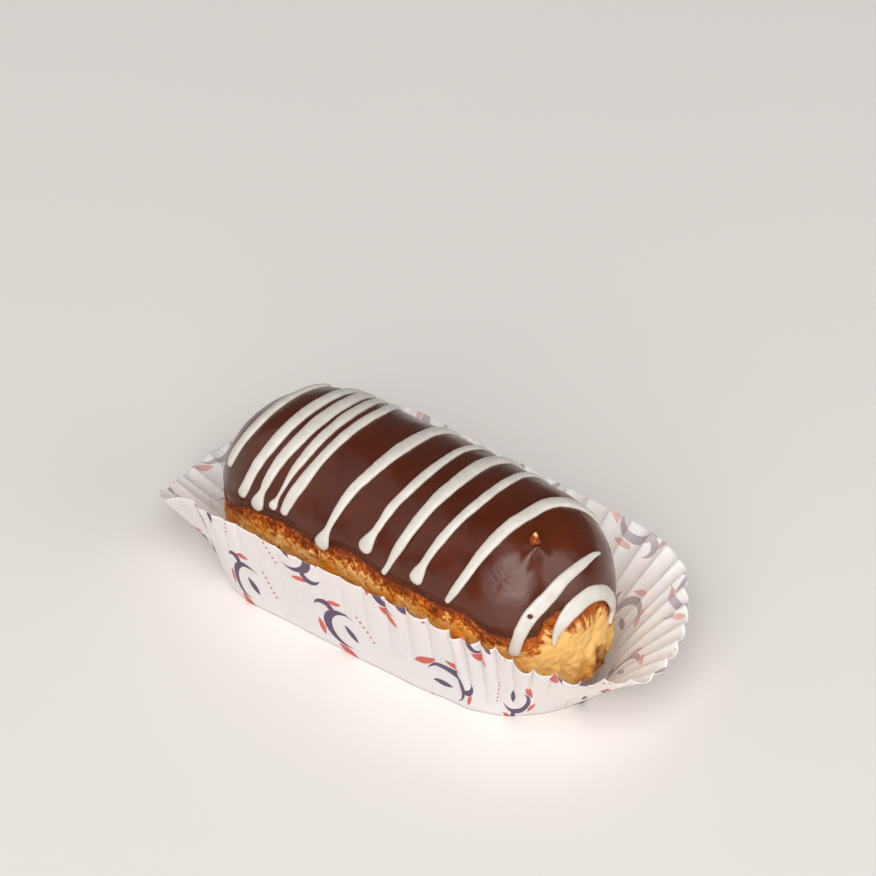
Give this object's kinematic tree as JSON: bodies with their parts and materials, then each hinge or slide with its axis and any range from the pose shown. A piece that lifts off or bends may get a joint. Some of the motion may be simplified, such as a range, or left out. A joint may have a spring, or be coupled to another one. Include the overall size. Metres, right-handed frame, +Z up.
{
  "type": "chocolate eclair",
  "caption": "Long choux pastry with chocolate icing over its top and white drizzle across it, lying in a pleated white paper case that opens out at both ends.",
  "frame": {"origin": "middle of the bounding box of the whole, on the plane that the paper case rests on", "axes": "+X along the eclair towards its bare golden front end, +Y towards the side that the paper leans away from, +Z up"},
  "size_m": [0.1712, 0.0834, 0.056],
  "materials": {
    "choux_crust": "dry baked crust, matt",
    "chocolate_icing": "set chocolate icing, satin gloss",
    "white_paper": "thin greaseproof paper, matt"
  },
  "bodies": {
    "root": {"choux_shell": "choux_crust", "chocolate_icing": "chocolate_icing", "paper_case": "white_paper"}
  },
  "joints": []
}
